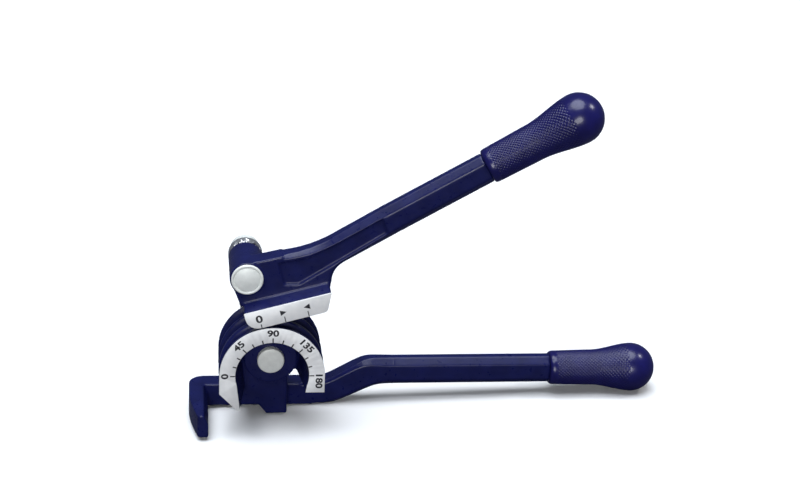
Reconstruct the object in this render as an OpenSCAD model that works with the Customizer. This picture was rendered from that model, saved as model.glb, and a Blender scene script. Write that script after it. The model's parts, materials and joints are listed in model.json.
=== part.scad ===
// Hand lever bender for small tubes: a grooved former on a lower handle, and a shoe on an
// upper handle that a link swings round the former.
// Frame: X to the handles, Y away from the scale side, Z up.  The origin is on the bend axis,
// in the plane of the two silver scale plates.

/* [Former] */
// Radius of the former's rim, which is also the radius of the bent tube's centre line
rim_r = 25; // [24:0.5:26]
// Depth of the former from the scale side to the back
former_d = 33; // [33:0.5:35]
// Radius of the cavity in the former at the scale side
cavity_r = 17.5; // [16.5:0.5:18.5]
// Depth of the cavity
cavity_d = 24; // [23:0.5:25]
// Thickness of the silver scale plates
plate_t = 0.8; // [0.6:0.1:1]

/* [Tubes] */
// Radius of the smallest tube, which lies in the groove on the scale side
tube_small_r = 3.175; // [3:0.025:3.3]
// Radius of the middle tube
tube_middle_r = 3.97; // [3.8:0.01:4.1]
// Radius of the largest tube, which lies in the rear groove
tube_large_r = 4.765; // [4.6:0.005:4.9]

/* [Lower handle] */
// Height of the base bar and the hook
bar_h = 11.7; // [11:0.1:12.5]
// Depth of the base bar and of the lower handle
bar_d = 10; // [9:0.5:11]
// Distance of the bend axis above the face that the tool stands on
axis_h = 33.2; // [32:0.1:34]
// Height of a handle's shaft
shaft_h = 14.6; // [14:0.1:15]
// Where the lower grip starts, from the bend axis
lower_grip_x = 142; // [138:1:148]

/* [Upper handle] */
// Handle pin from the bend axis, along X
pin_x = -12.2; // [-12.6:0.1:-11.8]
// Handle pin from the bend axis, along Z
pin_z = 47; // [46.5:0.1:47.5]
// Slope of the shoe
shoe_angle = 15; // [14:0.5:16]
// Gap between the shoe's face and the rim
shoe_gap = 0.8; // [0.6:0.1:1]
// Height of the shoe's end
shoe_h = 9; // [8.5:0.1:9.5]
// Slope of the upper handle's shaft
lever_angle = 30.5; // [30:0.1:31]
// Scale side of the upper handle's shaft
lever_front = 8; // [7.5:0.5:9]

/* [Grips] */
// Length of the lower grip
lower_grip_l = 54.8; // [54:0.2:60]
// Length of the upper grip
upper_grip_l = 59.6; // [54:0.2:60]
// Radius of a grip near its start
grip_r = 8.5; // [8:0.1:9]
// Radius of the ball at the end of a grip
ball_r = 12.2; // [11.8:0.1:12.5]
// Radius of the tang inside a grip
tang_r = 4.5; // [4:0.1:5]

/* [Pins] */
// Radius of the two pins
pin_r = 5; // [4.5:0.1:5.2]
// Radial clearance of a turning pin in its hole
pin_gap = 0.05; // [0.02:0.01:0.1]
// Radius of the centre pin's head
centre_head_r = 6.5; // [6.3:0.1:7]
// Radius of the handle pin's head and cap
handle_head_r = 7.5; // [7.2:0.1:7.8]
// Radius of the barrel round the handle pin
barrel_r = 8.2; // [8:0.1:8.4]
// Thickness of the link
link_t = 4.8; // [4:0.2:5]

/* [Hidden] */
$fn = 64;
NAVY = "midnightblue";
STEEL = "silver";
face_gap = 0.1;                                   // between faces that turn on each other
groove_radii = [tube_small_r, tube_middle_r, tube_large_r];
groove_pitch = 10.6;
groove_depths = [for (i = [-1:1]) former_d / 2 + i * groove_pitch];
back = former_d + bar_d;                          // rear face of the lower handle
bar_top = bar_h - axis_h;
leg_left = 18.4;                                  // how far each leg of the former reaches down
leg_right = 9;
leg_shoulder = 9.5;
hollow_end = 19;                                  // the hollow's lower end, past both legs
boss_r = 12.9;
boss_front = 18.4;
cavity_back_r = 14.4;
hook_x = -39.2;
hook_inner = -30;
shaft_z = -16.4;                                  // middle of the lower handle's shaft
shaft_chamfer = 3.3;
s_bend = [30, 49];                                // start and end of the rise to the shaft
shaft_x = 62;                                     // where the chamfered shaft starts
washer_t = 0.5;
link_front = former_d + washer_t + face_gap;
link_back = link_front + link_t;
barrel_front = 7.4;
barrel_back = link_front - washer_t - face_gap;
cap_front = 6.4;
rear_head_r = 7.2;
rear_head_t = 6.4;
lever_back = lever_front + bar_d;
lever_mid = lever_front + bar_d / 2;
shoe_n = rim_r + shoe_gap;                        // distance of the shoe's face from the axis
shoe_back = former_d - 0.4;
grip_start = [98.5, 101.35];                      // where the upper grip starts, X and Z
lever_shaft_l = 52;                               // length of the upper handle's chamfered shaft
tang_l = 38;
pocket_d = 1;

// A flat shape drawn in X and Z, from depth y0 to depth y1
module slab(y0, y1) {
    translate([0, y1, 0]) rotate([90, 0, 0]) linear_extrude(y1 - y0) children();
}

// A cylinder along Y
module rod(r, y0, y1, x = 0, z = 0) {
    translate([x, y0, z]) rotate([-90, 0, 0]) cylinder(r = r, h = y1 - y0);
}

// A cone along Y
module taper(r0, r1, y0, y1, x = 0, z = 0) {
    translate([x, y0, z]) rotate([-90, 0, 0]) cylinder(r1 = r0, r2 = r1, h = y1 - y0);
}

// A point on an arc
function arc_point(c, r, a) = [c[0] + r * cos(a), c[1] + r * sin(a)];

// The former's section, from the axis out to the grooved rim; its second axis is minus Y
module rim_section() {
    difference() {
        translate([0, -former_d]) square([rim_r, former_d - plate_t]);
        for (i = [0:2]) translate([rim_r, -groove_depths[i]]) circle(r = groove_radii[i]);
    }
}

// The outline of the former and its scale plate below the bend axis
module leg_outline() {
    polygon([[-rim_r, 0], [-rim_r, -leg_shoulder], [-16.5, -leg_left], [-12.5, -leg_left],
             [-12.5, -leg_right], [rim_r, -leg_right], [rim_r, 0]]);
}

// The hollow between the legs, at a depth where the cavity's radius is r
module hollow_outline(r) {
    polygon([[0.3 - r, -2], [2.5 - r, -hollow_end], [r - 3.3, -hollow_end], [r - 0.3, -2]]);
}

// The tapered hollow in the former, below the bend axis
module lower_hollow() {
    hull() {
        slab(-1, plate_t) hollow_outline(cavity_r);
        slab(cavity_d - 0.1, cavity_d) hollow_outline(cavity_back_r);
    }
}

module former_block() {
    rotate([90, 0, 0]) rotate_extrude(angle = 180) rim_section();
    intersection() {
        union() {
            rotate([180, 0, 0]) linear_extrude(leg_left) rim_section();
            mirror([1, 0, 0]) rotate([180, 0, 0]) linear_extrude(leg_left) rim_section();
        }
        slab(0, former_d) leg_outline();
    }
}

// Column below the boss, with the foot that the tool stands on
module column() {
    slab(cavity_d, former_d)
        polygon([[-14.2, -1], [-14.2, -28], [-5.4, -28], [-1.4, -axis_h], [8.8, -axis_h], [8.8, -1]]);
}

// Hook that the tube is held under; it narrows towards the scale side
module hook() {
    corner = 7;
    difference() {
        translate([0, 0, -axis_h]) linear_extrude(bar_h) polygon([
            [hook_inner, plate_t], [hook_inner, back], [hook_x + corner, back],
            for (a = [105:15:165]) arc_point([hook_x + corner, back - corner], corner, a),
            [hook_x, back - corner], [hook_x, 24],
            for (i = [1:5]) [hook_x + 4 * pow(i / 5, 1.6), 24 - 22 * i / 5],
            [hook_x + 5, plate_t]]);
        // The inner edge leans away from the tube
        slab(-1, former_d) polygon([[hook_inner - 2.2, bar_top + 0.1], [hook_inner + 1, bar_top + 0.1],
                                    [hook_inner + 1, bar_top - 7], [hook_inner, bar_top - 5]]);
    }
}

// The corner at b of an outline that comes from a and goes on to c, rounded to radius r
function bend(a, b, c, r) =
    let (u = (a - b) / norm(a - b), v = (c - b) / norm(c - b), half = acos(u * v) / 2,
         centre = b + (u + v) / norm(u + v) * r / sin(half), sweep = 180 - 2 * half,
         from = b + u * r / tan(half) - centre, to = b + v * r / tan(half) - centre)
    [for (i = [0:6]) centre + (sin((1 - i / 6) * sweep) * from + sin(i / 6 * sweep) * to) / sin(sweep)];

// Base bar behind the former, with the rise to the lower handle's shaft
module base_bar() {
    low = [[hook_x + 6, -axis_h], [s_bend[0] + 3, -axis_h], [s_bend[1] + 5, shaft_z - shaft_h / 2],
           [shaft_x, shaft_z - shaft_h / 2]];
    high = [[shaft_x, shaft_z + shaft_h / 2], [s_bend[1] - 0.5, shaft_z + shaft_h / 2],
            [s_bend[0] - 3, bar_top], [hook_x + 6, bar_top]];
    slab(former_d, back) polygon(concat(
        [low[0]], bend(low[0], low[1], low[2], 22), bend(low[1], low[2], low[3], 14), [low[3], high[0]],
        bend(high[0], high[1], high[2], 16), bend(high[1], high[2], high[3], 20), [high[3]]));
}

// Section of a handle's shaft: X is its height and Y its depth
module shaft_section(h, d) {
    c = shaft_chamfer;
    polygon([[-h / 2 + c, -d / 2], [h / 2 - c, -d / 2], [h / 2, -d / 2 + c], [h / 2, d / 2 - c],
             [h / 2 - c, d / 2], [-h / 2 + c, d / 2], [-h / 2, d / 2 - c], [-h / 2, -d / 2 + c]]);
}

module form_handle() {
    color(NAVY) difference() {
        union() {
            difference() {
                former_block();
                taper(cavity_r, cavity_back_r, plate_t, cavity_d);
                lower_hollow();
            }
            rod(boss_r, boss_front, former_d);
            column();
            base_bar();
            hook();
            translate([shaft_x, former_d + bar_d / 2, shaft_z]) rotate([0, 90, 0])
                linear_extrude(lower_grip_x - shaft_x) shaft_section(shaft_h, bar_d);
            translate([lower_grip_x - 2, former_d + bar_d / 2, shaft_z]) rotate([0, 90, 0])
                cylinder(r = tang_r, h = tang_l + 2);
        }
        rod(pin_r, boss_front - 1, former_d + 1);
    }
}

// Scale plate of 0 to 180 degrees on the former's face
module degree_plate() {
    color(STEEL) difference() {
        union() {
            intersection() {
                rod(rim_r, 0, plate_t);
                slab(0, plate_t) translate([-rim_r - 1, 0]) square([2 * rim_r + 2, rim_r + 1]);
            }
            slab(0, plate_t) leg_outline();
        }
        rod(cavity_r, -1, plate_t + 1);
        slab(-1, plate_t + 1) hollow_outline(cavity_r);
    }
}

// Radius of a grip at a distance t from its start, before the ball at ball_at
function flare(u) = u < 0.52 ? 0 : pow((u - 0.52) / 0.48, 2) * (3 - 2 * (u - 0.52) / 0.48);
function grip_radius(t, ball_at) =
    grip_r + 0.9 * t / ball_at + (ball_r - grip_r - 0.9) * flare(t / ball_at);

// Moulded grip of length l along +X, with a blind hole for the tang
module grip(l) {
    ball_at = l - ball_r;
    rotate([0, 90, 0]) difference() {
        rotate_extrude() polygon([
            [0, 0], [grip_r - 1, 0], [grip_r - 0.5, 0.3], [grip_r - 0.2, 1],
            for (i = [1:14]) let (t = ball_at * i / 14) [grip_radius(t, ball_at), t],
            for (a = [15:15:75]) [ball_r * cos(a), ball_at + ball_r * sin(a)],
            [0, l]]);
        translate([0, 0, -1]) cylinder(r = tang_r, h = tang_l + 1);
    }
}

module lower_grip() {
    color(NAVY) translate([lower_grip_x, former_d + bar_d / 2, shaft_z]) grip(lower_grip_l);
}

module upper_grip() {
    color(NAVY) translate([grip_start[0], lever_mid, grip_start[1]]) rotate([0, -lever_angle, 0])
        grip(upper_grip_l);
}

// Pin that the link turns on, pressed into the former
module centre_pin() {
    head_front = 15.2;
    ring_y = link_back + face_gap + washer_t;
    color(STEEL) difference() {
        union() {
            rod(pin_r, head_front + 1, ring_y + 2.4);
            rod(centre_head_r, head_front + 0.5, boss_front);
            taper(centre_head_r - 0.5, centre_head_r, head_front, head_front + 0.5);
        }
        difference() {
            rod(pin_r + 1, ring_y, ring_y + 1);
            rod(pin_r - 0.6, ring_y - 1, ring_y + 2);
        }
    }
}

// Ring of rectangular section round Y
module washer(inner_r, outer_r, y0, y1, x = 0, z = 0) {
    difference() {
        rod(outer_r, y0, y1, x, z);
        rod(inner_r, y0 - 1, y1 + 1, x, z);
    }
}

module axis_washer() {
    color(STEEL) washer(pin_r + 0.1, 9, former_d, former_d + washer_t);
}

module rear_washer() {
    color(STEEL) washer(pin_r + 0.1, 8.5, link_back + face_gap, link_back + face_gap + washer_t);
}

// Open retaining ring in the centre pin's groove
module centre_ring() {
    y0 = link_back + face_gap + washer_t;
    color(STEEL) difference() {
        washer(pin_r - 0.6, 7.6, y0, y0 + 1);
        slab(y0 - 1, y0 + 2) translate([-3, -9]) square([6, 8]);
    }
}

// Steel link between the two pins, behind the former
module link() {
    eye = 10;
    reach = norm([pin_x, pin_z]);
    lean = atan2(-pin_x, pin_z);
    color(STEEL) difference() {
        union() {
            rod(eye, link_front, link_back);
            rod(barrel_r, link_front, link_back, pin_x, pin_z);
            rotate([0, -lean, 0]) slab(link_front, link_back)
                polygon([[0.2 - eye, 1], [eye - 0.2, 1], [barrel_r - 0.3, reach - 2],
                         [0.3 - barrel_r, reach - 2]]);
        }
        rod(pin_r + pin_gap, link_front - 1, link_back + 1);
        rod(pin_r, link_front - 1, link_back + 1, pin_x, pin_z);
    }
}

// Pin that the upper handle turns on, pressed into the link
module handle_pin() {
    color(STEEL) {
        rod(pin_r, cap_front + 0.8, link_back + 1, pin_x, pin_z);
        rod(rear_head_r, link_back, link_back + rear_head_t - 0.8, pin_x, pin_z);
        taper(rear_head_r, rear_head_r - 0.8, link_back + rear_head_t - 0.8, link_back + rear_head_t, pin_x, pin_z);
    }
}

module barrel_washer() {
    color(STEEL) washer(pin_r + 0.1, 7.8, link_front - washer_t, link_front, pin_x, pin_z);
}

// Cap on the scale side of the handle pin
module pin_cap() {
    color(STEEL) difference() {
        union() {
            rod(handle_head_r, cap_front + 0.4, barrel_front - face_gap, pin_x, pin_z);
            taper(handle_head_r - 0.4, handle_head_r, cap_front, cap_front + 0.4, pin_x, pin_z);
        }
        rod(pin_r, cap_front + 0.8, barrel_front, pin_x, pin_z);
    }
}

// Outline of the shoe and its index plate: X runs along the shoe, Y away from the bend axis
module shoe_outline() {
    top = shoe_n + shoe_h;
    polygon([[-5, top], for (a = [180:15:270]) arc_point([1, shoe_n + 6], 6, a),
             for (a = [-90:20:-10]) arc_point([31.4, shoe_n + 2.6], 2.6, a), [37.2, top]]);
}

// A point on the upper handle: s runs along its shaft from the grip's start, n across it
function shaft_point(s, n) = [grip_start[0] + s * cos(lever_angle) - n * sin(lever_angle),
                              grip_start[1] + s * sin(lever_angle) + n * cos(lever_angle)];

// The upper handle's head and neck, seen from the scale side, out to the chamfered shaft
module lever_outline() {
    neck = [38, 45.4];
    neck_r = 10.6;
    crown = [-3.8, 116.4];
    crown_r = 58.4;
    polygon([
        [pin_x - 7.5, pin_z - 2.2], [-15.2, 33], [-9, 29.5], [25.4, 38], [27.4, 45.4],
        for (a = [165:-15:135]) arc_point(neck, neck_r, a),
        arc_point(neck, neck_r, 90 + lever_angle), shaft_point(-lever_shaft_l, -shaft_h / 2),
        shaft_point(-lever_shaft_l, shaft_h / 2),
        for (i = [0:4]) arc_point(crown, crown_r, 300.5 - 5 * i), [pin_x + 7.5, 56.2],
        [pin_x, pin_z + barrel_r - 0.4]]);
}

// Shallow pocket in the side of the upper handle's head
module lever_pocket() {
    polygon([[5, 43.8], [12, 43.8], shaft_point(-55.5, -3.8), shaft_point(-54, 3.8), [30, 64.8],
             [16, 57.4], [2, 54.6]]);
}

module shoe() {
    rotate([0, -shoe_angle, 0]) difference() {
        slab(plate_t, shoe_back) shoe_outline();
        for (i = [0:2]) translate([-10, groove_depths[i], rim_r]) rotate([0, 90, 0])
            cylinder(r = groove_radii[i], h = 60);
    }
    // The ledge above the plate slopes up to the head
    rotate([0, -shoe_angle, 0]) translate([-4.5, 0, shoe_n + shoe_h]) rotate([90, 0, 90]) linear_extrude(41)
        polygon([[plate_t, -2], [plate_t, -0.2], [lever_front + 1, 2.2], [lever_front + 1, -2]]);
}

module lever_handle() {
    color(NAVY) difference() {
        union() {
            difference() {
                slab(lever_front, lever_back) lever_outline();
                slab(lever_front - 1, lever_front + pocket_d) lever_pocket();
                slab(lever_back - pocket_d, lever_back + 1) lever_pocket();
            }
            shoe();
            rod(barrel_r, barrel_front, barrel_back, pin_x, pin_z);
            translate([grip_start[0], lever_mid, grip_start[1]]) rotate([0, 90 - lever_angle, 0]) {
                translate([0, 0, -lever_shaft_l]) linear_extrude(lever_shaft_l)
                    shaft_section(shaft_h, bar_d);
                translate([0, 0, -2]) cylinder(r = tang_r, h = tang_l + 2);
            }
        }
        rod(pin_r + pin_gap, barrel_front - 1, barrel_back + 1, pin_x, pin_z);
    }
}

// Plate with the index marks, on the shoe's face
module index_plate() {
    color(STEEL) rotate([0, -shoe_angle, 0]) slab(0, plate_t) shoe_outline();
}

form_handle();
degree_plate();
lower_grip();
centre_pin();
axis_washer();
rear_washer();
centre_ring();
link();
handle_pin();
barrel_washer();
pin_cap();
lever_handle();
index_plate();
upper_grip();
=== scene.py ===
import json
import math

import bmesh
import bpy
import numpy as np
from mathutils import Matrix, Vector


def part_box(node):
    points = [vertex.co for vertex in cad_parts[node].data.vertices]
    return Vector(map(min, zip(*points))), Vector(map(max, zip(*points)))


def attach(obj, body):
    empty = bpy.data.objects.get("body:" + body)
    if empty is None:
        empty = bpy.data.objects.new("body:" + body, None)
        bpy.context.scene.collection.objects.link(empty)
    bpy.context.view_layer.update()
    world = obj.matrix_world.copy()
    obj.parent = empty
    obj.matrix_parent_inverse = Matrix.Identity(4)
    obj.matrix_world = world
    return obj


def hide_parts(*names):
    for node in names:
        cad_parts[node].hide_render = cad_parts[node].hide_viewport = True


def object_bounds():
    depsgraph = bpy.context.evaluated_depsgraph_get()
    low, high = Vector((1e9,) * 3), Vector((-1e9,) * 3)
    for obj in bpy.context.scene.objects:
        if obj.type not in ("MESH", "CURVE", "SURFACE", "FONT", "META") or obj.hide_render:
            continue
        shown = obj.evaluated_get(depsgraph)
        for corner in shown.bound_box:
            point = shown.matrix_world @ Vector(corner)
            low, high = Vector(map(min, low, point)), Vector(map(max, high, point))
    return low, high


# A lever tube bender.  The castings are the CAD solids with soft cast edges, and the grips, pins
# and scale marks are built here in the same places and sizes.  Metres, in the CAD's frame.

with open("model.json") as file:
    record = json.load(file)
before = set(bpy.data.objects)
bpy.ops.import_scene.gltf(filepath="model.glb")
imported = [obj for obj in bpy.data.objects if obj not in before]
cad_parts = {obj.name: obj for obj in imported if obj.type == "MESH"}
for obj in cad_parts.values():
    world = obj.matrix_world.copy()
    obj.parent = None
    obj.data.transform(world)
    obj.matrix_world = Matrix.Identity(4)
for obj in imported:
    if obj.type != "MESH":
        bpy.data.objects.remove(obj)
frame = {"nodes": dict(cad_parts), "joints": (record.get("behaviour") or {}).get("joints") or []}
cad_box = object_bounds()
nodes = frame["nodes"]
joints = {joint["name"]: joint for joint in frame["joints"]}

MM = 0.001
_, plate_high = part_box("degree_plate")
RIM_R = plate_high.x                                   # rim of the former and its scale plate
CAVITY_R = 0.7 * RIM_R                                 # inner edge of the scale plate
SHOE_ANGLE = math.radians(15)
SHOE_FACE = RIM_R + 0.8 * MM                           # the shoe's face, from the bend axis
LEVER_ANGLE = math.radians(30.5)
UPPER_GRIP_LENGTH = 59.6 * MM
SHAFT_H = 14.6 * MM                                    # section of both handles' shafts
SHAFT_D = 10 * MM
GRIP_R = 8.5 * MM
BALL_R = 12.2 * MM
PIN_X, _, PIN_Z = joints["lever_swing"]["pos_m"]


# ---------------------------------------------------------------- materials

def new_material(name, color, roughness, metallic=0.0, coat=0.0, coat_roughness=0.1, specular=0.5):
    material = bpy.data.materials.new(name)
    material.use_nodes = True
    shader = material.node_tree.nodes["Principled BSDF"]
    shader.inputs["Base Color"].default_value = (*color, 1)
    shader.inputs["Roughness"].default_value = roughness
    shader.inputs["Metallic"].default_value = metallic
    shader.inputs["Coat Weight"].default_value = coat
    shader.inputs["Coat Roughness"].default_value = coat_roughness
    shader.inputs["Specular IOR Level"].default_value = specular
    return material, shader


def noise(material, scale, detail=3.0, stretch=(1, 1, 1)):
    """Noise in the object's own coordinates; scale is in cells per metre."""
    tree = material.node_tree
    place = tree.nodes.new("ShaderNodeTexCoord")
    mapping = tree.nodes.new("ShaderNodeMapping")
    mapping.inputs["Scale"].default_value = stretch
    texture = tree.nodes.new("ShaderNodeTexNoise")
    texture.inputs["Scale"].default_value = scale
    texture.inputs["Detail"].default_value = detail
    tree.links.new(place.outputs["Object"], mapping.inputs["Vector"])
    tree.links.new(mapping.outputs["Vector"], texture.inputs["Vector"])
    return texture.outputs["Fac"]


def ramp(material, value, stops):
    """Colours or greys along a value from 0 to 1."""
    node = material.node_tree.nodes.new("ShaderNodeValToRGB")
    elements = node.color_ramp.elements
    while len(elements) < len(stops):
        elements.new(0.5)
    for element, (position, color) in zip(elements, stops):
        element.position = position
        element.color = (*color, 1) if hasattr(color, "__len__") else (color, color, color, 1)
    material.node_tree.links.new(value, node.inputs["Fac"])
    return node.outputs["Color"]


def bump(material, shader, value, strength, distance):
    node = material.node_tree.nodes.new("ShaderNodeBump")
    node.inputs["Strength"].default_value = strength
    node.inputs["Distance"].default_value = distance
    material.node_tree.links.new(value, node.inputs["Height"])
    material.node_tree.links.new(node.outputs["Normal"], shader.inputs["Normal"])


def enamel_material():
    """Gloss navy paint on a casting, with small changes of shade and gloss."""
    material, shader = new_material("navy_enamel", (0.0060, 0.0085, 0.070), 0.33, coat=0.12,
                                    coat_roughness=0.16, specular=0.25)
    navies = [(0.3, (0.0046, 0.0066, 0.056)), (0.7, (0.0072, 0.0100, 0.080))]
    shade = ramp(material, noise(material, 140, 4), navies)
    material.node_tree.links.new(shade, shader.inputs["Base Color"])
    gloss = ramp(material, noise(material, 420, 3), [(0.3, 0.26), (0.72, 0.40)])
    material.node_tree.links.new(gloss, shader.inputs["Roughness"])
    return material


def grip_material():
    """Navy vinyl, a little brighter and softer than the enamel."""
    material, shader = new_material("navy_vinyl", (0.008, 0.008, 0.100), 0.28, coat=0.2,
                                    coat_roughness=0.12, specular=0.3)
    navies = [(0.3, (0.0060, 0.0055, 0.066)), (0.7, (0.0085, 0.0080, 0.092))]
    shade = ramp(material, noise(material, 200, 4), navies)
    material.node_tree.links.new(shade, shader.inputs["Base Color"])
    bump(material, shader, noise(material, 900, 2), 0.2, 0.08 * MM)
    return material


def plate_material():
    """Satin silver finish of the two scale plates."""
    material, shader = new_material("satin_plate", (0.86, 0.87, 0.86), 0.55, metallic=0.1, specular=0.4)
    shade = ramp(material, noise(material, 260, 4), [(0.3, (0.80, 0.81, 0.81)), (0.7, (0.90, 0.90, 0.89))])
    material.node_tree.links.new(shade, shader.inputs["Base Color"])
    gloss = ramp(material, noise(material, 500, 4, (1, 1, 8)), [(0.3, 0.42), (0.7, 0.6)])
    material.node_tree.links.new(gloss, shader.inputs["Roughness"])
    bump(material, shader, noise(material, 900, 3), 0.15, 0.05 * MM)
    return material


def steel_material(name, color, roughness, metallic):
    """Zinc-plated steel, slightly mottled."""
    material, shader = new_material(name, color, roughness, metallic=metallic)
    darker = [0.88 * channel for channel in color]
    shade = ramp(material, noise(material, 330, 5), [(0.3, darker), (0.7, color)])
    material.node_tree.links.new(shade, shader.inputs["Base Color"])
    gloss = ramp(material, noise(material, 700, 4), [(0.3, roughness - 0.08), (0.7, roughness + 0.1)])
    material.node_tree.links.new(gloss, shader.inputs["Roughness"])
    bump(material, shader, noise(material, 1100, 2), 0.05, 0.03 * MM)
    return material


def mark_material():
    """Black fill of the engraved marks, a little worn."""
    material, shader = new_material("mark_black", (0.02, 0.02, 0.025), 0.6, specular=0.3)
    blacks = [(0.35, (0.012, 0.012, 0.016)), (0.75, (0.06, 0.06, 0.07))]
    shade = ramp(material, noise(material, 900, 3), blacks)
    material.node_tree.links.new(shade, shader.inputs["Base Color"])
    return material


ENAMEL = enamel_material()
VINYL = grip_material()
PLATE = plate_material()
BRIGHT = steel_material("bright_steel", (0.90, 0.93, 0.89), 0.4, 0.1)
LINK_STEEL = steel_material("satin_steel", (0.62, 0.63, 0.65), 0.38, 0.9)
MARK = mark_material()


# ---------------------------------------------------------------- mesh helpers

def add_object(name, mesh):
    obj = bpy.data.objects.new(name, mesh)
    bpy.context.scene.collection.objects.link(obj)
    return obj


def bake_modifiers(obj):
    """Applies the object's modifiers to its mesh."""
    graph = bpy.context.evaluated_depsgraph_get()
    mesh = bpy.data.meshes.new_from_object(obj.evaluated_get(graph))
    obj.modifiers.clear()
    obj.data = mesh


def finish_piece(obj, material, body, slot, *replaced):
    obj.data.materials.clear()
    obj.data.materials.append(material)
    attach(obj, body)
    if replaced:
        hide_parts(*replaced)
    return obj


def copy_of(node, name):
    """A welded copy of a CAD node's mesh, as an object of its own."""
    mesh = nodes[node].data.copy()
    work = bmesh.new()
    work.from_mesh(mesh)
    bmesh.ops.remove_doubles(work, verts=work.verts, dist=0.002 * MM)
    bmesh.ops.recalc_face_normals(work, faces=work.faces)
    work.to_mesh(mesh)
    work.free()
    return add_object(name, mesh)


def arc(centre, radius, first, last, steps):
    """Points in X and Z on an arc, its angles in degrees."""
    angles = [math.radians(first + (last - first) * i / steps) for i in range(steps + 1)]
    return [(centre[0] + radius * math.cos(a), centre[1] + radius * math.sin(a)) for a in angles]


def smooth_rise(x0, z0, x1, z1, steps=12):
    """Points of an S-shaped rise from one level to another."""
    shares = [i / steps for i in range(steps + 1)]
    return [(x0 + (x1 - x0) * u, z0 + (z1 - z0) * u * u * (3 - 2 * u)) for u in shares]


def chamfer_edge(obj, outline, widths, front, inward):
    """Chamfers both long edges of a flat-sided stretch, whose outline is points in X and Z in mm.
    The chamfer's width goes from the first to the second of widths along it, also in mm. front is
    the depth of the scale side, and inward is +1 where the metal lies left of the outline's way."""
    count = len(obj.data.vertices)
    points = np.empty(count * 3, np.float32)
    obj.data.vertices.foreach_get("co", points)
    points = points.reshape(-1, 3).astype(float)
    flat = points[:, [0, 2]]
    ends = np.array(outline) * MM
    starts, steps = ends[:-1], ends[1:] - ends[:-1]
    lengths = np.linalg.norm(steps, axis=1)
    travelled = np.concatenate([[0], np.cumsum(lengths)])
    best = np.full(count, np.inf)
    depth, width, normals = np.zeros(count), np.zeros(count), np.zeros((count, 2))
    for k, (start, step) in enumerate(zip(starts, steps)):
        share = (flat - start) @ step / lengths[k] ** 2
        normal = inward * np.array([-step[1], step[0]]) / lengths[k]
        near = start + np.clip(share, 0, 1)[:, None] * step
        distance = np.linalg.norm(flat - near, axis=1)
        closer = (distance < best) & (share > -0.02) & (share < 1.02)
        best[closer] = distance[closer]
        depth[closer] = ((flat - start) @ normal)[closer]
        along = (travelled[k] + np.clip(share, 0, 1) * lengths[k]) / travelled[-1]
        width[closer] = ((widths[0] + (widths[1] - widths[0]) * along) * MM)[closer]
        normals[closer] = normal
    middle = front * MM + SHAFT_D / 2
    side = points[:, 1] - middle
    within = (best < 5 * MM) & (depth > -0.6 * MM) & (np.abs(side) < SHAFT_D / 2 + 0.6 * MM)
    excess = np.where(within, width - depth - (SHAFT_D / 2 - np.abs(side)), 0)
    excess = np.maximum(excess, 0) / 2
    points[:, [0, 2]] += normals * excess[:, None]
    points[:, 1] -= np.sign(side) * excess
    obj.data.vertices.foreach_set("co", points.astype(np.float32).ravel())
    obj.data.update()


def cast_copy(node, name, front, edges):
    """A copy of a CAD node with the rounded edges and inner corners of a casting. Its edges are
    (outline, widths, inward) for chamfer_edge."""
    obj = copy_of(node, name)
    remesh = obj.modifiers.new("remesh", "REMESH")
    remesh.mode = "VOXEL"
    remesh.voxel_size = 0.42 * MM
    bake_modifiers(obj)
    for outline, widths, inward in edges:
        chamfer_edge(obj, outline, widths, front, inward)
    smooth = obj.modifiers.new("smooth", "SMOOTH")
    smooth.factor = 0.5
    smooth.iterations = 8
    bake_modifiers(obj)
    obj.data.shade_smooth()
    return obj


def bevelled_copy(node, name, width):
    """A copy of a CAD node with its sharp edges broken."""
    obj = copy_of(node, name)
    bevel = obj.modifiers.new("bevel", "BEVEL")
    bevel.width = width
    bevel.segments = 3
    bevel.limit_method = "ANGLE"
    bevel.angle_limit = math.radians(40)
    bevel.harden_normals = True
    bake_modifiers(obj)
    obj.data.shade_smooth()
    obj.data.set_sharp_from_angle(angle=math.radians(35))
    return obj


def turned(name, profile, x=0.0, z=0.0, steps=96):
    """A turned piece round an axis along Y; its profile is (radius, depth) from front to back in mm."""
    mesh = bmesh.new()
    rings = []
    for radius, depth in profile:
        if radius == 0:
            rings.append([mesh.verts.new((x, depth * MM, z))])
            continue
        angles = [2 * math.pi * i / steps for i in range(steps)]
        rings.append([mesh.verts.new((x + radius * MM * math.cos(a), depth * MM,
                                      z + radius * MM * math.sin(a))) for a in angles])
    for near, far in zip(rings, rings[1:]):
        for i in range(steps):
            j = (i + 1) % steps
            corners = [near[i % len(near)], near[j % len(near)], far[j % len(far)], far[i % len(far)]]
            mesh.faces.new(list(dict.fromkeys(corners)))
    bmesh.ops.recalc_face_normals(mesh, faces=mesh.faces)
    data = bpy.data.meshes.new(name)
    mesh.to_mesh(data)
    mesh.free()
    data.shade_smooth()
    data.set_sharp_from_angle(angle=math.radians(32))
    return add_object(name, data)


# ---------------------------------------------------------------- castings

def upper_grip_place():
    """Where the upper grip starts, and its length."""
    low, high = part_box("upper_grip")
    ball = Vector((high.x - BALL_R, (low.y + high.y) / 2, high.z - BALL_R))
    along = Vector((math.cos(LEVER_ANGLE), 0, math.sin(LEVER_ANGLE)))
    return ball - (UPPER_GRIP_LENGTH - BALL_R) * along, UPPER_GRIP_LENGTH


FORM_FRONT = 33            # depth of the scale side of the lower shaft, in mm
LEVER_FRONT = 8            # and of the upper one
SHAFT_Z = -16.4            # height of the lower shaft's middle
SHAFT_X = 62               # where the CAD's own chamfers start on the lower shaft
SHAFT_CHAMFER = 3.3
LEVER_SHAFT_LENGTH = 52    # how far the CAD's own chamfers reach back from the upper grip


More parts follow.
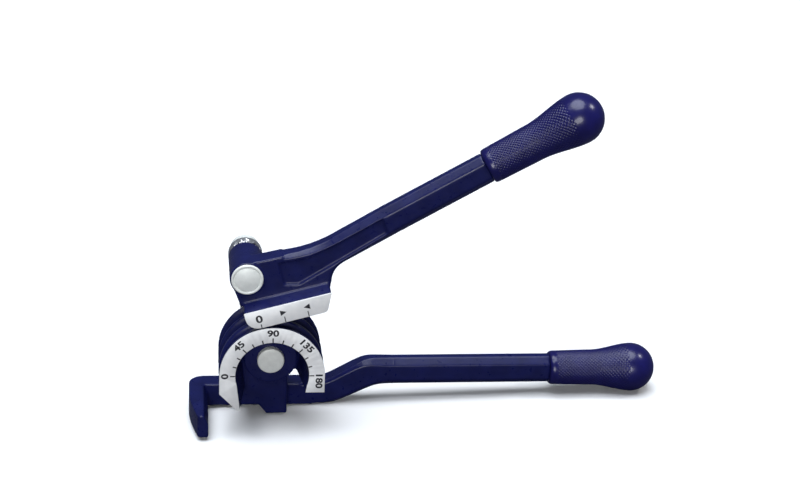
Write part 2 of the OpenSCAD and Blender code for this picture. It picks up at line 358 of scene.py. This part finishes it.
def form_handle_edges():
    """The long edges of the lower handle's S-bend, from the former to the chamfered shaft, in mm."""
    bar_top, bar_bottom = -21.5, -33.2
    half = SHAFT_H / MM / 2
    top = [(16, bar_top)] + smooth_rise(22, bar_top, 51, SHAFT_Z + half) + [(SHAFT_X, SHAFT_Z + half)]
    bottom = [(22, bar_bottom)] + smooth_rise(27, bar_bottom, 59, SHAFT_Z - half)
    bottom.append((SHAFT_X, SHAFT_Z - half))
    return [(top, (1.2, SHAFT_CHAMFER), -1), (bottom, (0.8, SHAFT_CHAMFER), 1)]


def lever_handle_edges():
    """The long edges of the upper handle's head and neck, up to the chamfered shaft, in mm."""
    start, _ = upper_grip_place()
    turn = Matrix.Rotation(-LEVER_ANGLE, 3, "Y")
    above = (start + turn @ Vector((-LEVER_SHAFT_LENGTH * MM, 0, SHAFT_H / 2))) / MM
    below = (start + turn @ Vector((-LEVER_SHAFT_LENGTH * MM, 0, -SHAFT_H / 2))) / MM
    crown = arc((-3.8, 116.4), 58.4, 278, 300.5, 8) + [(above.x, above.z)]
    throat = arc((38, 45.4), 10.6, 180, 120.5, 6) + [(below.x, below.z)]
    return [(crown, (1.8, SHAFT_CHAMFER), -1), (throat, (1.0, SHAFT_CHAMFER), 1)]


def castings():
    form = cast_copy("form_handle", "form_handle_casting", FORM_FRONT, form_handle_edges())
    finish_piece(form, ENAMEL, "base", "enamel", "form_handle")
    lever = cast_copy("lever_handle", "lever_handle_casting", LEVER_FRONT, lever_handle_edges())
    finish_piece(lever, ENAMEL, "lever", "enamel", "lever_handle")


# ---------------------------------------------------------------- grips

KNURLS_ROUND = 34          # diamonds round a grip
KNURL_PITCH = 1.75 * MM    # length of a diamond
KNURL_DEPTH = 0.3 * MM
KNURL_END = 0.95           # share of the way to the ball's middle where the knurling ends


def grip_radius(t, ball_at):
    """The grip's radius at t from where it starts, as in the CAD model."""
    if t < ball_at:
        u = max(0.0, t / ball_at - 0.52) / 0.48
        return GRIP_R + 0.9 * MM * t / ball_at + (BALL_R - GRIP_R - 0.9 * MM) * u * u * (3 - 2 * u)
    return math.sqrt(max(0.0, BALL_R ** 2 - (t - ball_at) ** 2))


def knurl_depth(t, turn, end):
    """How deep the crossing knurl grooves are at t along the grip and turn round it."""
    if not 3 * MM < t < end:
        return 0.0
    fade = min(1.0, (t - 3 * MM) / (1 * MM), (end - t) / (1.5 * MM))
    a = math.pi * (KNURLS_ROUND * turn + t / KNURL_PITCH)
    b = math.pi * (KNURLS_ROUND * turn - t / KNURL_PITCH)
    height = min(abs(math.sin(a)), abs(math.sin(b)))
    return KNURL_DEPTH * fade * (1 - min(1.0, 1.5 * height))


def grip(name, node, body, start, slope, length):
    """A moulded grip that starts at a point and runs along +X, turned up by slope."""
    around = KNURLS_ROUND * 8
    ball_at = length - BALL_R
    knurl_end = KNURL_END * ball_at
    stations = [(GRIP_R - 2 * MM, 0.0), (GRIP_R - 1.2 * MM, 0.0), (GRIP_R - 0.65 * MM, 0.2 * MM),
                (GRIP_R - 0.3 * MM, 0.65 * MM), (GRIP_R - 0.1 * MM, 1.2 * MM)]
    step = KNURL_PITCH / 8
    t = 2 * MM
    while t < knurl_end + step:
        stations.append((None, t))
        t += step
    while t < ball_at:
        stations.append((None, t))
        t += 3 * step
    stations += [(BALL_R * math.cos(math.radians(a)), ball_at + BALL_R * math.sin(math.radians(a)))
                 for a in range(3, 90, 4)]
    turn_matrix = Matrix.Translation(start) @ Matrix.Rotation(-slope, 4, "Y")
    mesh = bmesh.new()
    rings = []
    for radius, along in stations:
        ring = []
        for i in range(around):
            turn = i / around
            r = radius
            if r is None:
                r = grip_radius(along, ball_at) - knurl_depth(along, turn, knurl_end)
            angle = 2 * math.pi * turn
            point = Vector((along, r * math.cos(angle), r * math.sin(angle)))
            ring.append(mesh.verts.new(turn_matrix @ point))
        rings.append(ring)
    for near, far in zip(rings, rings[1:]):
        for i in range(around):
            j = (i + 1) % around
            mesh.faces.new((near[i], far[i], far[j], near[j]))
    tip = mesh.verts.new(turn_matrix @ Vector((length, 0, 0)))
    inside = mesh.verts.new(turn_matrix @ Vector((0.2 * MM, 0, 0)))
    for i in range(around):
        j = (i + 1) % around
        mesh.faces.new((rings[-1][i], tip, rings[-1][j]))
        mesh.faces.new((rings[0][j], inside, rings[0][i]))
    bmesh.ops.recalc_face_normals(mesh, faces=mesh.faces)
    data = bpy.data.meshes.new(name)
    mesh.to_mesh(data)
    mesh.free()
    data.shade_smooth()
    finish_piece(add_object(name, data), VINYL, body, "grip", node)


def grips():
    low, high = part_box("lower_grip")
    start = Vector((low.x, (low.y + high.y) / 2, (low.z + high.z) / 2))
    grip("lower_grip_moulding", "lower_grip", "base", start, 0.0, high.x - low.x)
    start, length = upper_grip_place()
    grip("upper_grip_moulding", "upper_grip", "lever", start, LEVER_ANGLE, length)


# ---------------------------------------------------------------- pins, washers and link

def pins():
    centre = turned("centre_pin_turned", [
        (0, 15.2), (5.6, 15.22), (6.1, 15.35), (6.4, 15.65), (6.5, 16.1), (6.5, 18.4), (5, 18.4),
        (5, 39), (4.4, 39), (4.4, 40), (5, 40), (5, 40.8), (4.6, 41.3), (0, 41.4)])
    finish_piece(centre, BRIGHT, "base", "pin_steel", "centre_pin")
    cap = turned("pin_cap_turned", [
        (0, 6.48), (5.6, 6.46), (5.85, 6.6), (6.0, 6.85), (6.25, 6.85), (6.45, 6.55), (6.65, 6.42),
        (6.9, 6.4), (7.3, 6.55), (7.5, 6.85), (7.5, 7.3), (5, 7.3), (5, 7.1), (0, 7.1)], PIN_X, PIN_Z)
    finish_piece(cap, BRIGHT, "link", "pin_steel", "pin_cap")
    pin = turned("handle_pin_turned", [
        (0, 7.2), (4.7, 7.2), (5, 7.5), (5, 38.4), (7.2, 38.4), (7.2, 43.6), (7.12, 44.1),
        (6.8, 44.55), (6.3, 44.75), (0, 44.8)], PIN_X, PIN_Z)
    finish_piece(pin, BRIGHT, "link", "pin_steel", "handle_pin")


def flat_steel():
    """The link, the washers and the ring; each has the width of its broken edges, in mm."""
    for node, body, width in (("link", "link", 0.5), ("axis_washer", "base", 0.12),
                              ("rear_washer", "base", 0.12), ("centre_ring", "base", 0.15),
                              ("barrel_washer", "link", 0.12)):
        piece = bevelled_copy(node, node + "_finished", width * MM)
        finish_piece(piece, LINK_STEEL, body, "link_steel", node)


# ---------------------------------------------------------------- scale plates and their marks

MARK_PROUD = 0.03 * MM
NUMERAL_STRETCH = 1.25      # the stamped numerals are wider than the font's


def mark(name, outline, place, body):
    """A thin filled mark on a plate's face; its outline is (across, up) in metres on the plate."""
    mesh = bmesh.new()
    front = [mesh.verts.new(place @ Vector((u, -MARK_PROUD, w))) for u, w in outline]
    rear = [mesh.verts.new(place @ Vector((u, 0.1 * MM, w))) for u, w in outline]
    mesh.faces.new(front)
    mesh.faces.new(rear)
    for i in range(len(outline)):
        j = (i + 1) % len(outline)
        mesh.faces.new((front[i], front[j], rear[j], rear[i]))
    bmesh.ops.recalc_face_normals(mesh, faces=mesh.faces)
    data = bpy.data.meshes.new(name)
    mesh.to_mesh(data)
    mesh.free()
    finish_piece(add_object(name, data), MARK, body, "plate")


def numeral(text, name, place, height, body):
    curve = bpy.data.curves.new(name, "FONT")
    curve.body = text
    curve.size = height / 0.7
    curve.align_x = "CENTER"
    curve.align_y = "CENTER"
    curve.extrude = MARK_PROUD
    curve.offset = 0.15 * MM
    curve.resolution_u = 4
    obj = add_object(name, curve)
    upright = place @ Matrix.Rotation(math.pi / 2, 4, "X")
    obj.matrix_world = upright @ Matrix.Diagonal((NUMERAL_STRETCH, 1, 1, 1))
    bpy.context.view_layer.update()
    graph = bpy.context.evaluated_depsgraph_get()
    mesh = bpy.data.meshes.new_from_object(obj.evaluated_get(graph))
    mesh.transform(obj.matrix_world)
    bpy.data.objects.remove(obj)
    finish_piece(add_object(name, mesh), MARK, body, "plate")


def on_former(angle, radius):
    """A place on the scale plate: angle 0 is to the left, and its up points away from the axis."""
    turn = angle - math.pi / 2
    centre = Vector((radius * math.sin(turn), 0, radius * math.cos(turn)))
    return Matrix.Translation(centre) @ Matrix.Rotation(turn, 4, "Y")


def bar_outline(width, low, high):
    return [(-width / 2, low), (width / 2, low), (width / 2, high), (-width / 2, high)]


def degree_marks():
    for degrees in range(0, 181, 15):
        name = "degree_mark_" + str(degrees)
        length = 2.4 * MM if degrees % 45 == 0 else 1.9 * MM
        place = on_former(math.radians(degrees), CAVITY_R)
        mark(name, bar_outline(0.6 * MM, 0.1 * MM, length), place, "base")
    for degrees in range(0, 181, 45):
        place = on_former(math.radians(degrees), 22.3 * MM)
        if degrees == 180:
            place = Matrix.Translation((22.1 * MM, 0, -2.6 * MM)) @ Matrix.Rotation(math.pi / 2, 4, "Y")
        numeral(str(degrees), "degree_number_" + str(degrees), place, 3.1 * MM, "base")


def on_shoe(along, up):
    """A place on the index plate: along the shoe from the tangent point, and up from its face."""
    turn = Matrix.Rotation(-SHOE_ANGLE, 4, "Y")
    return turn @ Matrix.Translation((along, 0, SHOE_FACE + up))


def index_marks():
    for name, along, length in (("index_zero", 1.5, 2.0), ("index_right", 13.0, 3.0),
                                ("index_left", 24.2, 3.0)):
        line = bar_outline(0.45 * MM, 0.15 * MM, length * MM)
        mark(name + "_line", line, on_shoe(along * MM, 0), "lever")
    numeral("0", "index_zero_number", on_shoe(1.3 * MM, 4.6 * MM), 3.6 * MM, "lever")
    arrow = [(-1.5 * MM, -1.4 * MM), (1.5 * MM, 0), (-1.5 * MM, 1.4 * MM)]
    mark("index_right_arrow", arrow, on_shoe(13.0 * MM, 5.2 * MM), "lever")
    mark("index_left_arrow", [(-u, w) for u, w in arrow], on_shoe(24.2 * MM, 5.2 * MM), "lever")


def plates():
    finish_piece(bevelled_copy("degree_plate", "degree_plate_finished", 0.12 * MM), PLATE, "base", "plate",
                 "degree_plate")
    finish_piece(bevelled_copy("index_plate", "index_plate_finished", 0.12 * MM), PLATE, "lever", "plate",
                 "index_plate")
    degree_marks()
    index_marks()


# ---------------------------------------------------------------- floor, lights and camera

TIP = math.radians(1.73)   # the tool rests on the bar's rear edge and on the lower grip's ball


def floor():
    """A plain pale floor through the two places that the tool rests on."""
    rest = Vector((34.5 * MM, 0, -33.25 * MM))
    mesh = bmesh.new()
    corners = [mesh.verts.new((x, y, 0)) for x, y in ((-4, -4), (4, -4), (4, 4), (-4, 4))]
    mesh.faces.new(corners)
    data = bpy.data.meshes.new("floor")
    mesh.to_mesh(data)
    mesh.free()
    obj = add_object("floor", data)
    obj.matrix_world = Matrix.Translation(rest) @ Matrix.Rotation(-TIP, 4, "Y")
    material, shader = new_material("floor_white", (0.93, 0.93, 0.93), 0.9, specular=0.0)
    tree = material.node_tree
    dim = tree.nodes.new("ShaderNodeBsdfDiffuse")
    dim.inputs["Color"].default_value = (0.07, 0.07, 0.09, 1)
    path = tree.nodes.new("ShaderNodeLightPath")
    mix = tree.nodes.new("ShaderNodeMixShader")
    tree.links.new(path.outputs["Is Camera Ray"], mix.inputs["Fac"])
    tree.links.new(dim.outputs["BSDF"], mix.inputs[1])
    tree.links.new(shader.outputs["BSDF"], mix.inputs[2])
    tree.links.new(mix.outputs["Shader"], tree.nodes["Material Output"].inputs["Surface"])
    obj.data.materials.append(material)


def area_light(name, position, target, size, power, color=(1, 1, 1)):
    light = bpy.data.lights.new(name, "AREA")
    light.shape = "RECTANGLE"
    light.size, light.size_y = size
    light.energy = power
    light.color = color
    obj = add_object(name, light)
    direction = Vector(target) - Vector(position)
    obj.matrix_world = Matrix.Translation(position) @ direction.to_track_quat("-Z", "Y").to_matrix().to_4x4()


def sun_light(name, direction, angle, strength, color=(1, 1, 1)):
    light = bpy.data.lights.new(name, "SUN")
    light.angle = math.radians(angle)
    light.energy = strength
    light.color = color
    obj = add_object(name, light)
    obj.matrix_world = Vector(direction).to_track_quat("-Z", "Y").to_matrix().to_4x4()


def lights():
    world = bpy.data.worlds.new("studio")
    bpy.context.scene.world = world
    world.use_nodes = True
    tree = world.node_tree
    seen = tree.nodes["Background"]
    seen.inputs["Color"].default_value = (1, 1, 1, 1)
    seen.inputs["Strength"].default_value = 1.0
    around = tree.nodes.new("ShaderNodeBackground")
    around.inputs["Color"].default_value = (0.75, 0.85, 1, 1)
    around.inputs["Strength"].default_value = 0.12
    path = tree.nodes.new("ShaderNodeLightPath")
    mix = tree.nodes.new("ShaderNodeMixShader")
    tree.links.new(path.outputs["Is Camera Ray"], mix.inputs["Fac"])
    tree.links.new(around.outputs["Background"], mix.inputs[1])
    tree.links.new(seen.outputs["Background"], mix.inputs[2])
    tree.links.new(mix.outputs["Shader"], tree.nodes["World Output"].inputs["Surface"])
    centre = (cad_box[0] + cad_box[1]) / 2
    sun_light("top_sun", (0.15, 0.1, -1), 50, 3.7, (0.88, 0.93, 1))
    sun_light("front_sun", (0.1, 0.95, -0.22), 25, 1.4)
    area_light("key_softbox", centre + Vector((0.75, -0.05, 0.8)), centre, (0.2, 0.2), 2.5)


AZIMUTH = math.radians(7.83)
ELEVATION = math.radians(23.16)
ROLL = math.radians(3.04)
DISTANCE = 0.8036
FOCAL_LENGTH = 76.0


def camera():
    """The camera looks at a point between the two handles."""
    target = Vector((60.5 * MM, 20 * MM, 56.4 * MM))
    forward = Vector((math.sin(AZIMUTH) * math.cos(ELEVATION), math.cos(AZIMUTH) * math.cos(ELEVATION),
                      -math.sin(ELEVATION)))
    level = Vector((math.cos(AZIMUTH), -math.sin(AZIMUTH), 0))
    upright = level.cross(forward)
    right = math.cos(ROLL) * level + math.sin(ROLL) * upright
    up = right.cross(forward)
    data = bpy.data.cameras.new("camera")
    data.lens = FOCAL_LENGTH
    data.sensor_width = 36
    data.clip_start = 0.05
    data.clip_end = 20
    obj = add_object("camera", data)
    turn = Matrix((right, up, -forward)).transposed().to_4x4()
    obj.matrix_world = Matrix.Translation(target - DISTANCE * forward) @ turn
    bpy.context.scene.camera = obj


def look():
    settings = bpy.context.scene.view_settings
    settings.view_transform = "Standard"
    settings.look = "None"
    settings.exposure = 0
    settings.gamma = 1


castings()
grips()
pins()
flat_steel()
plates()
floor()
lights()
camera()
look()
